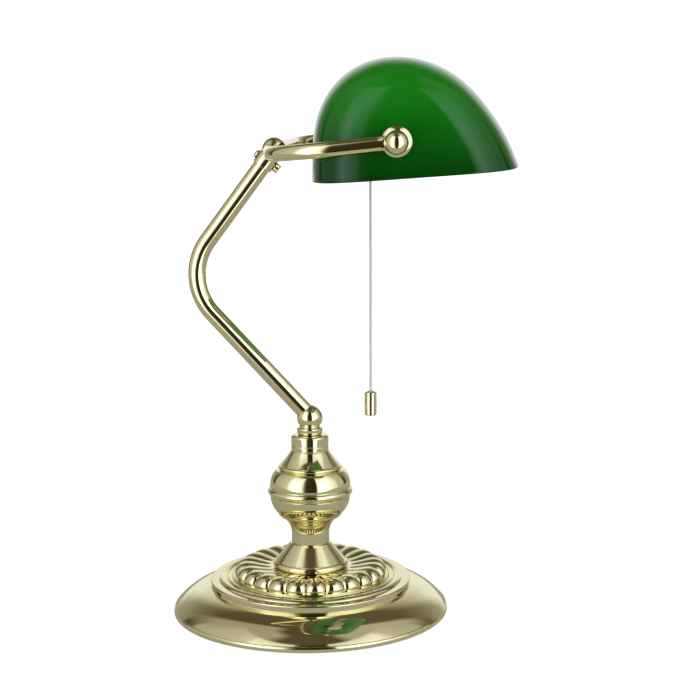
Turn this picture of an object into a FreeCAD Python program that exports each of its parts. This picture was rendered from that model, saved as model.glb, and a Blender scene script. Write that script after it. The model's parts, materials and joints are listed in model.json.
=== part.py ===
import FreeCAD, Part
import math
import os

# Banker desk lamp, millimetres. Origin: centre of the base on the desk, +Z up.
# The arm leans back over -X, the shade hangs out over +X and is long along Y.

V = FreeCAD.Vector
X_AXIS, Y_AXIS, Z_AXIS = V(1, 0, 0), V(0, 1, 0), V(0, 0, 1)
FITS = 0.05            # radial clearance of a pin that turns in a hole
SEAT = 0.02            # radial clearance of a piece that is fixed in a hole

# Base
BASE_R = 95.0
RIM_Z = 0.4            # underside of the rim, just above the felt's face
SHELL_T = 1.2          # spun brass
STEP_R = 69.5          # upright band between the dish and the mouldings
TOP_Z = 23.2           # flat top of the base shell
ROD_R = 5.0            # hollow threaded rod that holds the whole stem together
ROD_BORE = 3.3
ROD_BOTTOM_Z = 5.0
ROD_TOP_Z = 124.0
ROD_HOLE = ROD_R + SEAT
FELT_T = 1.4
PLATE_T = 1.2
PLATE_R = 91.5
WEIGHT_BOTTOM_Z = 3.2
WEIGHT_WEB_Z = 14.0    # underside of the weight's middle web, where the rod's nut sits
WEIGHT_RECESS_R = 15.0
PLATE_SCREW_PITCH_R = 55.0
PLATE_SCREW_COUNT = 3
LEAD_HOLE_Z = 9.0      # centre of the lead hole in the base's far side
LEAD_BORE_R = 3.2
GROMMET_R = 4.4
GROMMET_IN, GROMMET_OUT = 84.0, 96.4   # its ends, from the stem's axis

# Gadrooned ring
PETALS = 24
PETAL_INNER_R = 27.0
PETAL_WALL = 1.2       # between the petals' inner edge and the cone's seat
RING_FLOOR_Z = 29.5    # the cone stands here
RING_CEILING_Z = 28.0  # top of the hollow under the petals
PLINTH_STEP_Z = 24.6
PETAL_FOOT_Z = 25.8
# ridge of a petal from its foot to its inner edge, and how deep the groove beside each point is
PETAL_RIDGE = ((52.4, PETAL_FOOT_Z), (52.9, 27.2), (52.4, 29.6), (50.2, 32.4), (46.3, 34.2), (41.0, 34.1),
               (34.0, 32.6), (PETAL_INNER_R, 31.4))
PETAL_DEPTH = (1.6, 2.2, 2.6, 2.7, 2.4, 1.8, 1.2, 0.0)
PETAL_ROUNDNESS = 0.94 # 1 would make the groove's sides upright

# Stem levels
CONE_TOP_Z = 48.3
VASE_SPLIT_Z = 81.6    # lower vase meets the bead
BEAD_TOP_Z = 88.2      # bead meets the upper vase
BEAD_R = 29.3
COLLAR_TOP_Z = 124.5

# Arm
SWIVEL_BALL_Z = 136.0
SWIVEL_BALL_R = 8.9
SWIVEL_NECK_R = 7.1
LOCK_RING_R = 8.9
LOCK_RING_TOP_Z = 129.4
TUBE_R = 6.0
TUBE_WALL = 1.0
TUBE_LEAN_BACK = 42.7  # degrees from upright, lower leg
TUBE_LEAN_FRONT = 36.6 # degrees from upright, upper leg
TUBE_CORNER = V(-87.6, 0, 232.0)
TUBE_BEND_R = 39.0
LEAD_R = 2.6           # lead inside the tube

# Top joint and yoke
JOINT_BALL_R = 8.2
JOINT_X = -22.6
JOINT_COLLAR_R = 7.0
JOINT_COLLAR_LENGTH = 6.0
CROSS_SCREW_DROP = 9.2    # below the joint ball's centre, along the tube
CROSS_SCREW_R = 2.0
TUBE_SEAT = 5.5        # end of the tube, below the joint ball's centre
YOKE_TUBE_R = 4.75
YOKE_BORE_R = 3.6
YOKE_HALF = 118.1      # middle of the arm's flattened end
YOKE_BEND_R = 40.0
YOKE_CORNER_AHEAD = 9.5   # the bar bows: its corners lie this far ahead of its middle
YOKE_STRAIGHT_HALF = 32.0 # half of the bar's straight middle
YOKE_BOW_R = 200.0
TONGUE_T = 3.0
TONGUE_R = 6.2

# Shade
TILT_X, TILT_Z = 61.5, 328.5
SHADE_END = 112.5      # half the glass's length
SHADE_CENTRE = V(71.7, 0, 306.5)
RIM_TILT = 4.1         # degrees, front edge up
GLASS_GREEN_T = 2.0
GLASS_WHITE_T = 1.3
RIM_POWER = 5.0        # squareness of the plan at the rim
CAP_SCALE = 0.45       # share of the section that lies flat at each end
HALF_DEPTH = 66.4      # mean half width of the section at the rim
STATIONS = (0.55, 0.66, 0.77, 0.86, 0.93, 0.975)
# half section, from the rear edge over the crown to the front edge
SECTION = ((-65.6, 0), (-64.4, 14), (-59.4, 39.7), (-48.2, 58.3), (-31, 70.5), (-8, 74.6),
           (12.3, 70.5), (32.8, 58.2), (49, 39.2), (61, 17.2), (67.2, 0))
RUBBER_T = 0.8
DISC_T = 3.0
DISC_RIM_T = 0.6
DISC_R = 9.5
DISC_FLAT_R = 5.4      # flat middle of the domed disc
STUD_R = 2.5
BALL_NUT_R = 7.3
STRAP_T = 1.5
STRAP_W = 14.0
STRAP_Z = 356.0
STRAP_SHOULDER_Z = 336.0
STRAP_SHOULDER_IN = 20.0

# Lampholder and bulb, lying along Y in the middle of the shade
HOLDER_X, HOLDER_Z = 70.0, 330.0
HOLDER_R = 18.0
HOLDER_BACK_Y = 45.0
HOLDER_FRONT_Y = 3.0
BULB_R = 22.5
BULB_Y = -32.0

# Pull switch and cord
PULL_X = 42.0
SWITCH_R = 7.0
SWITCH_BOTTOM_Z = 340.0
STEM_R = 1.1
STEM_BOTTOM_Z = 330.0
BEAD_PULL_R = 1.7
BEAD_PIN_R = 0.4       # cross hole for the pin that the bead swings on
PULL_PIVOT_Z = STEM_BOTTOM_Z - 0.3 - BEAD_PULL_R
CORD_R = 0.85
KNOB_R = 4.15
KNOB_TOP_Z = 155.0
KNOB_BOTTOM_Z = 138.0
CORD_ROUTE = (V(PULL_X, 0, PULL_PIVOT_Z - 1.4), V(PULL_X + 0.1, 0.2, 312.0), V(PULL_X, 0, KNOB_TOP_Z))


def outline(start, steps, place):
    """Closed face: a step is a point, or a (through, end) pair for an arc."""
    edges = []
    here = place(start)
    for step in list(steps) + [start]:
        if isinstance(step[0], tuple):
            through, end = place(step[0]), place(step[1])
            edges.append(Part.Arc(here, through, end).toShape())
        else:
            end = place(step)
            if end.isEqual(here, 1e-7):
                continue
            edges.append(Part.LineSegment(here, end).toShape())
        here = end
    return Part.Face(Part.Wire(edges))


def turned(start, steps):
    """Solid of revolution about Z from an outline of (radius, height)."""
    face = outline(start, steps, lambda p: V(p[0], 0, p[1]))
    return face.revolve(V(0, 0, 0), Z_AXIS, 360)


def turned_on(start, steps, point, axis):
    """Solid of revolution from (radius, distance along axis), set on a line."""
    solid = turned(start, steps)
    solid.Placement = FreeCAD.Placement(point, FreeCAD.Rotation(Z_AXIS, axis))
    return solid


def rod(radius, start, end):
    return Part.makeCylinder(radius, (end - start).Length, start, end - start)


def hexagon(across, height, point, axis):
    corner = across / math.sqrt(3)
    turns = [math.radians(60 * i) for i in range(6)]
    points = [V(corner * math.cos(t), corner * math.sin(t), 0) for t in turns]
    prism = Part.Face(Part.makePolygon(points + points[:1])).extrude(V(0, 0, height))
    prism.Placement = FreeCAD.Placement(point, FreeCAD.Rotation(Z_AXIS, axis))
    return prism


def around(solid, count, first=0):
    """Copies of a solid, evenly spaced about Z."""
    copies = []
    for i in range(count):
        copy = solid.copy()
        copy.rotate(V(0, 0, 0), Z_AXIS, first + 360.0 * i / count)
        copies.append(copy)
    return copies


def pair(near):
    """A piece at the near end of the shade, and the same one at the far end."""
    return near, near.mirror(V(0, 0, 0), Y_AXIS)


# ---------------------------------------------------------------- base

def shell_outer():
    """Outside of the spun shell, from the rim in to the middle of the top."""
    return [(BASE_R, RIM_Z), ((BASE_R + 0.3, 2.2), (BASE_R - 0.2, 4.0)), (BASE_R - 0.7, 4.3),
            ((83.6, 13.6), (STEP_R, 18.5)), (STEP_R, 22.2), ((STEP_R - 0.3, 23.0), (STEP_R - 1.1, TOP_Z)),
            (64.0, TOP_Z), ((61.0, 25.2), (58.2, TOP_Z)), ((56.2, 24.9), (54.2, TOP_Z)),
            (ROD_HOLE, TOP_Z)]


def base_shell():
    inner_top = TOP_Z - SHELL_T
    inner = [(ROD_HOLE, inner_top), (STEP_R - 2.0, inner_top), (STEP_R - SHELL_T, inner_top - 0.8),
             (STEP_R - SHELL_T, 17.6), ((82.6, 12.6), (BASE_R - 2.4, 3.9)), (BASE_R - SHELL_T, 2.6),
             (BASE_R - SHELL_T, RIM_Z)]
    points = shell_outer()
    shell = turned(points[0], points[1:] + inner)
    lead_hole = rod(GROMMET_R + SEAT, V(0, 80, LEAD_HOLE_Z), V(0, BASE_R + 5, LEAD_HOLE_Z))
    return shell.cut(lead_hole)


def lead_grommet():
    """Sleeve through the shell's far side, with a rounded outer end."""
    shoulder = GROMMET_OUT - 0.8
    return turned_on((LEAD_BORE_R, GROMMET_IN),
                     [(GROMMET_R, GROMMET_IN), (GROMMET_R, shoulder),
                      ((GROMMET_R - 0.2, shoulder + 0.6), (GROMMET_R - 0.7, GROMMET_OUT)),
                      (LEAD_BORE_R, GROMMET_OUT)],
                     V(0, 0, LEAD_HOLE_Z), Y_AXIS)


def base_weight():
    top = TOP_Z - SHELL_T
    disc = turned((WEIGHT_RECESS_R, WEIGHT_BOTTOM_Z),
                  [(86.0, WEIGHT_BOTTOM_Z), (86.0, 7.0), ((77.0, 12.6), (66.0, 15.6)), (66.0, top),
                   (ROD_HOLE, top), (ROD_HOLE, WEIGHT_WEB_Z), (WEIGHT_RECESS_R, WEIGHT_WEB_Z)])
    for hole in around(rod(2.0, V(PLATE_SCREW_PITCH_R, 0, 0), V(PLATE_SCREW_PITCH_R, 0, 11)), PLATE_SCREW_COUNT):
        disc = disc.cut(hole)
    channel = Part.makeBox(10, 100, 8, V(-5, 0, WEIGHT_BOTTOM_Z - 0.5))
    return disc.cut(channel)


def base_plate():
    bottom = FELT_T
    plate = turned((20.0, bottom), [(PLATE_R, bottom), (PLATE_R, bottom + PLATE_T), (20.0, bottom + PLATE_T)])
    for hole in around(plate_screw(2.15, SEAT), PLATE_SCREW_COUNT):
        plate = plate.cut(hole)
    return plate


def plate_screw(radius=2.0, grow=0.0):
    """Countersunk screw up through the plate into the weight."""
    z = FELT_T
    return turned((0, z), [(3.6 + grow, z), (radius, z + 1.1), (radius, z + 8.4), (0, z + 8.4)]).translated(
        V(PLATE_SCREW_PITCH_R, 0, 0))


def plate_screws():
    return Part.makeCompound(around(plate_screw(), PLATE_SCREW_COUNT))


def felt_pad():
    return turned((0, 0), [(PLATE_R, 0), (PLATE_R, FELT_T), (0, FELT_T)])


def stem_rod():
    return turned((ROD_BORE, ROD_BOTTOM_Z), [(ROD_R, ROD_BOTTOM_Z), (ROD_R, ROD_TOP_Z), (ROD_BORE, ROD_TOP_Z)])


def rod_washer():
    return turned((ROD_HOLE, WEIGHT_WEB_Z - 1.5),
                  [(12.0, WEIGHT_WEB_Z - 1.5), (12.0, WEIGHT_WEB_Z), (ROD_HOLE, WEIGHT_WEB_Z)])


def rod_nut():
    top = WEIGHT_WEB_Z - 1.5
    height = 6.0
    body = hexagon(17.0, height, V(0, 0, top - height), Z_AXIS)
    return body.cut(rod(ROD_HOLE, V(0, 0, 0), V(0, 0, top + 1)))


# ---------------------------------------------------------------- gadrooned ring

def petal_point(row, across):
    """Point of a petal: row along the ridge, across from -1 to 1 in its wedge."""
    radius, height = PETAL_RIDGE[row]
    fall = 1 - math.sqrt(1 - PETAL_ROUNDNESS * across * across)
    sag = PETAL_DEPTH[row] * fall / (1 - math.sqrt(1 - PETAL_ROUNDNESS))
    steep = (radius - PETAL_INNER_R) / (PETAL_RIDGE[0][0] - PETAL_INNER_R)
    if row == 0:
        drop = 0.0
    else:
        drop = sag * (1 - 0.75 * steep ** 4)
    angle = math.radians(across * 180.0 / PETALS)
    shrunk = radius - sag * steep ** 2
    return V(shrunk * math.cos(angle), shrunk * math.sin(angle), height - drop)


def petal_face():
    across = [i / 4.0 for i in range(-4, 5)]
    grid = [[petal_point(row, a) for a in across] for row in range(len(PETAL_RIDGE))]
    surface = Part.BSplineSurface()
    surface.interpolate(grid)
    return surface.toShape()


def gadroon_ring():
    """24 petals round a hollow ring, with a floor for the cone to stand on."""
    petals = around(petal_face(), PETALS, first=180.0 / PETALS)
    low = [min(p.Edges, key=lambda e: e.CenterOfMass.z) for p in petals]
    high = [min(p.Edges, key=lambda e: math.hypot(e.CenterOfMass.x, e.CenterOfMass.y)) for p in petals]
    lids = [Part.Face(Part.Wire(Part.__sortEdges__(low))), Part.Face(Part.Wire(Part.__sortEdges__(high)))]
    shell = Part.Shell(petals + lids)
    shell.sewShape()
    body = Part.Solid(shell)
    if body.Volume < 0:
        body.reverse()
    plinth = turned((0, TOP_Z), [(54.0, TOP_Z), ((54.3, 23.9), (54.0, PLINTH_STEP_Z)),
                                 (53.2, PLINTH_STEP_Z), ((53.5, 25.2), (53.1, PETAL_FOOT_Z)), (0, PETAL_FOOT_Z)])
    body = body.fuse(plinth)
    seat = rod(PETAL_INNER_R - PETAL_WALL, V(0, 0, RING_FLOOR_Z), V(0, 0, 40))
    hollow = turned((0, TOP_Z - 1), [(47.0, TOP_Z - 1), (47.0, 27.5), (42.0, 29.6), (30.0, RING_CEILING_Z),
                                     (0, RING_CEILING_Z)])
    return body.cut(seat).cut(hollow).cut(rod(ROD_HOLE, V(0, 0, 0), V(0, 0, 60)))


# ---------------------------------------------------------------- stem

def foot_cone():
    z0, top = RING_FLOOR_Z, CONE_TOP_Z
    return turned((ROD_HOLE, z0),
                  [(22.2, z0), ((24.82, 30.58), (25.9, 33.2)), ((25.5, 34.6), (24.3, 35.6)), (14.5, 47.3),
                   ((14.0, 47.9), (13.3, top)), (ROD_HOLE, top), (ROD_HOLE, 45.4), (9.0, 44.0),
                   (18.0, z0 + 3.0), (ROD_HOLE, z0 + 3.0)])


def lower_vase():
    z0, top = CONE_TOP_Z, VASE_SPLIT_Z
    return turned((ROD_HOLE, z0),
                  [(13.1, z0), (13.1, 54.6), ((14.4, 60.5), (20.3, 66.8)), (21.9, 68.0), (21.9, 69.0),
                   ((25.6, 73.6), (27.7, top)), (25.4, top), ((23.2, 74.6), (17.6, 69.0)),
                   (11.0, 62.0), (10.6, z0 + 4.0), (ROD_HOLE, z0 + 4.0)])


def equator_bead():
    z0, top = VASE_SPLIT_Z, BEAD_TOP_Z
    middle = (z0 + top) / 2
    return turned((ROD_HOLE, z0),
                  [(27.8, z0), (27.8, z0 + 0.8), ((BEAD_R, middle), (27.8, top - 0.8)), (27.8, top),
                   (24.0, top), (24.0, z0 + 2.0), (ROD_HOLE, z0 + 2.0)])


def upper_vase():
    z0, top = BEAD_TOP_Z, COLLAR_TOP_Z
    return turned((25.4, z0),
                  [(27.7, z0), ((27.1, 93.8), (23.6, 99.9)), (20.6, 100.5), ((21.9, 101.9), (20.6, 103.3)),
                   ((16.6, 108.0), (13.2, 113.0)), (12.7, 113.6), (12.9, 114.1), (12.9, 116.6), (12.5, 117.0),
                   (12.9, 117.4), (12.9, 122.6), ((12.3, 123.9), (11.0, top)), (ROD_HOLE, top),
                   (ROD_HOLE, 120.0), (10.4, 116.0), ((13.6, 107.2), (18.0, 101.5)), ((23.8, 96.2), (25.4, z0))])


# ---------------------------------------------------------------- arm

def leg_direction(lean, side):
    lean = math.radians(lean)
    return V(side * math.sin(lean), 0, math.cos(lean))


LOWER_LEG = leg_direction(TUBE_LEAN_BACK, -1)
UPPER_LEG = leg_direction(TUBE_LEAN_FRONT, 1)
SWIVEL_CENTRE = TUBE_CORNER - LOWER_LEG * ((TUBE_CORNER.z - SWIVEL_BALL_Z) / LOWER_LEG.z)
JOINT_CENTRE = TUBE_CORNER + UPPER_LEG * ((JOINT_X - TUBE_CORNER.x) / UPPER_LEG.x)


def rounded_path(points, radii):
    """Wire of straight runs joined by tangent arcs of the given radii."""
    edges = []
    here = points[0]
    for i in range(1, len(points) - 1):
        back = (points[i - 1] - points[i]).normalize()
        on = (points[i + 1] - points[i]).normalize()
        half = back.getAngle(on) / 2
        radius = radii[i - 1]
        reach = radius / math.tan(half)
        first, last = points[i] + back * reach, points[i] + on * reach
        bisector = (back + on).normalize()
        middle = points[i] + bisector * (radius / math.sin(half) - radius)
        edges.append(Part.LineSegment(here, first).toShape())
        edges.append(Part.Arc(first, middle, last).toShape())
        here = last
    edges.append(Part.LineSegment(here, points[-1]).toShape())
    return Part.Wire(edges)


def swept(radius, points, radii):
    path = rounded_path(points, radii)
    across = points[1] - points[0]
    ring = Part.Wire(Part.Circle(points[0], across, radius).toShape())
    return path.makePipeShell([ring], True, False)


def tube_path(start, end):
    return [SWIVEL_CENTRE + LOWER_LEG * start, TUBE_CORNER, JOINT_CENTRE - UPPER_LEG * end]


def arm_tube():
    points = tube_path(2.5, TUBE_SEAT)
    outside = swept(TUBE_R, points, [TUBE_BEND_R])
    return outside.cut(swept(TUBE_R - TUBE_WALL, points, [TUBE_BEND_R])).cut(cross_hole())


def tube_lead():
    return swept(LEAD_R, tube_path(4.0, TUBE_SEAT + 2.0), [TUBE_BEND_R])


def swivel_ball():
    """Turned ball on a neck that plugs into the stem's top and turns there."""
    ring_top = LOCK_RING_TOP_Z
    low = SWIVEL_BALL_Z - math.sqrt(SWIVEL_BALL_R ** 2 - 7.6 ** 2)
    ball = turned((0, ring_top), [(6.9, ring_top), (SWIVEL_NECK_R, ring_top + 0.5), (SWIVEL_NECK_R, low - 1.0),
                                  (6.7, low - 0.5), (7.6, low),
                                  ((SWIVEL_BALL_R, SWIVEL_BALL_Z), (0, SWIVEL_BALL_Z + SWIVEL_BALL_R))])
    socket = rod(TUBE_R + SEAT, SWIVEL_CENTRE + LOWER_LEG * 2.5, SWIVEL_CENTRE + LOWER_LEG * 20)
    lead_way = rod(LEAD_R + 0.5, V(0, 0, ring_top - 1), V(0, 0, SWIVEL_BALL_Z + 4))
    return ball.cut(socket).cut(lead_way)


def lock_ring():
    z0, top = COLLAR_TOP_Z + 0.3, LOCK_RING_TOP_Z
    return turned((LEAD_R + 0.6, z0),
                  [(8.2, z0), ((8.7, z0 + 1.6), (LOCK_RING_R, top - 1.4)), ((8.7, top - 0.4), (8.0, top)),
                   (LEAD_R + 0.6, top)])


ACROSS_TUBE = V(UPPER_LEG.z, 0, -UPPER_LEG.x)


def cross_point(reach):
    """Point on the cross screw's axis, reach millimetres from the tube's axis."""
    return JOINT_CENTRE - UPPER_LEG * CROSS_SCREW_DROP + ACROSS_TUBE * reach


def cross_hole():
    return rod(CROSS_SCREW_R + SEAT, cross_point(-20), cross_point(20))


def top_joint():
    """Ball over a collar that takes the tube's end, bored crosswise for the yoke."""
    low = -JOINT_BALL_R - JOINT_COLLAR_LENGTH
    meet = -math.sqrt(JOINT_BALL_R ** 2 - JOINT_COLLAR_R ** 2)
    body = turned((0, low), [(JOINT_COLLAR_R - 0.4, low), (JOINT_COLLAR_R, low + 0.4), (JOINT_COLLAR_R, meet),
                             ((JOINT_BALL_R, 0), (0, JOINT_BALL_R))])
    body.Placement = FreeCAD.Placement(JOINT_CENTRE, FreeCAD.Rotation(Z_AXIS, UPPER_LEG))
    socket = rod(TUBE_R + SEAT, JOINT_CENTRE + UPPER_LEG * (low - 5), JOINT_CENTRE - UPPER_LEG * TUBE_SEAT)
    cross = rod(YOKE_TUBE_R + SEAT, JOINT_CENTRE - V(0, 20, 0), JOINT_CENTRE + V(0, 20, 0))
    lead_way = rod(LEAD_R + 0.5, JOINT_CENTRE - UPPER_LEG * (TUBE_SEAT + 1), JOINT_CENTRE)
    return body.cut(socket).cut(cross).cut(cross_hole()).cut(lead_way)


def cross_screw():
    seat, inner = -JOINT_COLLAR_R, -LEAD_R - 0.2
    return turned_on((0, seat - 2.0), [((2.2, seat - 1.6), (3.0, seat - 0.4)), (3.0, seat), (CROSS_SCREW_R, seat),
                                       (CROSS_SCREW_R, inner), (0, inner)],
                     cross_point(0), ACROSS_TUBE)


def cross_nut():
    seat, inner = JOINT_COLLAR_R, LEAD_R + 0.2
    return turned_on((0, inner), [(CROSS_SCREW_R, inner), (CROSS_SCREW_R, seat), (2.8, seat), (3.1, seat + 0.3),
                                  (3.1, seat + 3.2), (2.7, seat + 3.6), (0, seat + 3.6)],
                     cross_point(0), ACROSS_TUBE)


YOKE_RISE = math.atan2(TILT_Z - JOINT_CENTRE.z, TILT_X - JOINT_CENTRE.x)
YOKE_RUN = V(math.cos(YOKE_RISE), 0, math.sin(YOKE_RISE))
TILT_DISTANCE = math.hypot(TILT_Z - JOINT_CENTRE.z, TILT_X - JOINT_CENTRE.x)


def yoke_path(short):
    """From the near arm's end round the bar to the far arm's end."""
    reach = YOKE_RUN * (TILT_DISTANCE - short)
    corner = YOKE_RUN * YOKE_CORNER_AHEAD
    side, middle = V(0, YOKE_HALF, 0), V(0, YOKE_STRAIGHT_HALF, 0)
    offsets = [reach - side, corner - side, middle * -1, middle, corner + side, reach + side]
    return [JOINT_CENTRE + offset for offset in offsets]


def tongue(side):
    """Flattened end of an arm with the stud's hole, at the near (-1) or far (1) side."""
    y = side * YOKE_HALF - TONGUE_T / 2
    centre = V(TILT_X, y, TILT_Z)
    eye = rod(TONGUE_R, centre, centre + V(0, TONGUE_T, 0))
    tab = Part.makeBox(16.0, TONGUE_T, 2 * YOKE_TUBE_R, V(-16.0, y, -YOKE_TUBE_R))
    tab.rotate(V(0, 0, 0), Y_AXIS, -math.degrees(YOKE_RISE))
    tab.translate(V(TILT_X, 0, TILT_Z))
    hole = rod(STUD_R + FITS, centre - V(0, 1, 0), centre + V(0, TONGUE_T + 1, 0))
    return eye.fuse(tab).cut(hole)


def yoke():
    bends = [YOKE_BEND_R, YOKE_BOW_R, YOKE_BOW_R, YOKE_BEND_R]
    outside = swept(YOKE_TUBE_R, yoke_path(13.0), bends)
    inside = swept(YOKE_BORE_R, yoke_path(16.0), bends)
    body = outside.cut(inside)
    for side in (-1, 1):
        body = body.fuse(tongue(side))
    return body.removeSplitter()


# ---------------------------------------------------------------- shade

def section_wire(scale, drop, y):
    """Closed outline of the shade at one station along Y, in the rim's own frame."""
    points = [V(x * scale, y, z * scale - drop) for x, z in SECTION]
    crown = Part.BSplineCurve()
    crown.interpolate(points)
    return Part.Wire([crown.toShape(), Part.LineSegment(points[-1], points[0]).toShape()])


def dome(inset, drop):
    """Solid dome of the shade's outside, moved in by inset and down by drop."""
    end = SHADE_END - inset
    shrink = (HALF_DEPTH - inset) / HALF_DEPTH
    full = end / (1 - CAP_SCALE ** RIM_POWER) ** (1 / RIM_POWER)
    half = [(CAP_SCALE, end)] + [(s, full * (1 - s ** RIM_POWER) ** (1 / RIM_POWER)) for s in STATIONS]
    stations = [(s, -y) for s, y in half] + [(1.0, 0.0)] + [(s, y) for s, y in reversed(half)]
    wires = [section_wire(s * shrink, drop, y) for s, y in stations]
    solid = Part.makeLoft(wires, True, False)
    solid.Placement = FreeCAD.Placement(SHADE_CENTRE, FreeCAD.Rotation(Y_AXIS, -RIM_TILT))
    return solid


def stud_hole(radius):
    return rod(radius, V(TILT_X, -SHADE_END - 5, TILT_Z), V(TILT_X, SHADE_END + 5, TILT_Z))


def shade_green():
    return dome(0.0, 0.0).cut(dome(GLASS_GREEN_T, 1.0)).cut(stud_hole(STUD_R + 0.8))


def shade_white():
    inner = dome(GLASS_GREEN_T + GLASS_WHITE_T, 1.0)
    below = Part.makeBox(300, 300, 60, V(-150, -150, -60))
    below.Placement = FreeCAD.Placement(SHADE_CENTRE, FreeCAD.Rotation(Y_AXIS, -RIM_TILT))
    return dome(GLASS_GREEN_T, 1.0).cut(inner).cut(below).cut(stud_hole(STUD_R + 0.8))


def side_ring(radius, start, thickness, hole=STUD_R + SEAT, edge=0.3):
    """Near-end washer on the tilt axis; start is its inner face's distance from the middle."""
    return turned_on((hole, start), [(radius, start), (radius, start + thickness - edge),
                                     (radius - edge, start + thickness), (hole, start + thickness)],
                     V(TILT_X, 0, TILT_Z), V(0, -1, 0))


GLASS_INSIDE = SHADE_END - GLASS_GREEN_T - GLASS_WHITE_T
TAB_OUTSIDE = GLASS_INSIDE - RUBBER_T
DISC_START = SHADE_END + RUBBER_T
NUT_START = YOKE_HALF + TONGUE_T / 2 + 0.3


def rubber_washers():
    near = [side_ring(7.0, SHADE_END, RUBBER_T, edge=0.1), side_ring(7.0, TAB_OUTSIDE, RUBBER_T, edge=0.1)]
    return Part.makeCompound([s for ring in near for s in pair(ring)])


def disc():
    """Domed disc against the glass, with a flat middle under the yoke's end."""
    rim, top = DISC_START + DISC_RIM_T, DISC_START + DISC_T
    return turned_on((STUD_R + SEAT, DISC_START),
                     [(DISC_R, DISC_START), (DISC_R, rim), ((7.6, rim + 1.32), (DISC_FLAT_R, top)),
                      (STUD_R + SEAT, top)], V(TILT_X, 0, TILT_Z), V(0, -1, 0))


def stud():
    """Threaded stud from the strap's tab out into the ball nut."""
    start, end = TAB_OUTSIDE - STRAP_T - 5.5, NUT_START + 8.5
    return turned_on((0, start), [(STUD_R, start), (STUD_R, end), (0, end)], V(TILT_X, 0, TILT_Z), V(0, -1, 0))


def ball_nut():
    """Round nut with a flat inner face, threaded on the stud."""
    centre = NUT_START + 5.2
    flat = math.sqrt(BALL_NUT_R ** 2 - 5.2 ** 2)
    hole = STUD_R + FITS
    end = NUT_START + 9.0
    return turned_on((hole, NUT_START), [(flat, NUT_START), ((BALL_NUT_R, centre), (0, centre + BALL_NUT_R)),
                                         (0, end), (hole, end)], V(TILT_X, 0, TILT_Z), V(0, -1, 0))


def stud_nut():
    start = TAB_OUTSIDE - STRAP_T
    body = hexagon(8.0, 4.0, V(TILT_X, -start, TILT_Z), Y_AXIS)
    return body.cut(stud_hole(STUD_R + SEAT))


def strap():
    """Bent flat strap between the two studs, with an ear over the pull switch."""
    out = TAB_OUTSIDE - STRAP_T / 2
    run = [(-out, TILT_Z - 8), (-out, STRAP_SHOULDER_Z), (-out + STRAP_SHOULDER_IN, STRAP_Z),
           (out - STRAP_SHOULDER_IN, STRAP_Z), (out, STRAP_SHOULDER_Z), (out, TILT_Z - 8)]
    x = TILT_X - STRAP_W / 2
    path = Part.makePolygon([V(x, y, z) for y, z in run])
    y, z = run[0]
    half = STRAP_T / 2
    across = [V(x, y - half, z), V(x + STRAP_W, y - half, z), V(x + STRAP_W, y + half, z), V(x, y + half, z)]
    body = path.makePipeShell([Part.makePolygon(across + across[:1])], True, False, 1)
    ear = Part.makeBox(x - PULL_X + SWITCH_R + 2, 12, STRAP_T, V(PULL_X - SWITCH_R, -6, STRAP_Z - STRAP_T / 2))
    plate = holder_plate()
    return body.fuse(ear).fuse(plate).cut(stud_hole(STUD_R + SEAT)).removeSplitter()


def holder_plate():
    """Tab welded under the strap that carries the lampholder."""
    width, y = 24.0, HOLDER_BACK_Y
    plate = Part.makeBox(width, STRAP_T, STRAP_Z - HOLDER_Z + 10, V(HOLDER_X - width / 2, y, HOLDER_Z - 10))
    return plate.cut(rod(ROD_R + 0.1, V(HOLDER_X, y - 5, HOLDER_Z), V(HOLDER_X, y + 5, HOLDER_Z)))


def on_holder(start, steps):
    """Turned piece of the lampholder, measured from its mouth towards its back."""
    return turned_on(start, steps, V(HOLDER_X, HOLDER_FRONT_Y, HOLDER_Z), Y_AXIS)


HOLDER_LENGTH = HOLDER_BACK_Y - HOLDER_FRONT_Y


def lampholder_shell():
    length = HOLDER_LENGTH
    return on_holder((HOLDER_R - 1, 0), [(HOLDER_R, 0), (HOLDER_R, length - 14), ((15.5, length - 4), (10.0, length)),
                                         (ROD_R + SEAT, length), (ROD_R + SEAT, length - 1.2), (9.6, length - 1.2),
                                         ((14.4, length - 5), (HOLDER_R - 1, length - 14.4))])


def lampholder_core():
    return on_holder((14.2, 1.0), [(HOLDER_R - 1.05, 1.0), (HOLDER_R - 1.05, 26.0), (6.0, 26.0), (6.0, 23.0),
                                   (14.2, 23.0)])


def lampholder_nipple():
    start = HOLDER_LENGTH - 6
    return on_holder((ROD_BORE, start), [(ROD_R, start), (ROD_R, start + 15), (ROD_BORE, start + 15)])


def lampholder_nut():
    body = hexagon(16.0, 3.0, V(HOLDER_X, HOLDER_BACK_Y + STRAP_T, HOLDER_Z), Y_AXIS)
    return body.cut(rod(ROD_R + SEAT, V(HOLDER_X, 0, HOLDER_Z), V(HOLDER_X, 100, HOLDER_Z)))


def bulb_cap():
    return on_holder((0, 22.0), [(5.0, 22.0), (11.5, 19.5), (13.1, 18.5), (13.1, 0.5), (12.6, -1.0), (0, -1.0)])


def bulb_glass():
    centre = BULB_Y - HOLDER_FRONT_Y
    neck = 12.4
    return on_holder((0, centre - BULB_R), [(((BULB_R * 0.7071), centre - BULB_R * 0.7071), (BULB_R, centre)),
                                            ((BULB_R * 0.94, centre + BULB_R * 0.342),
                                             (BULB_R * 0.76, centre + BULB_R * 0.65)),
                                            ((14.0, centre + 22.0), (neck, -1.0)), (0, -1.0)])


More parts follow.
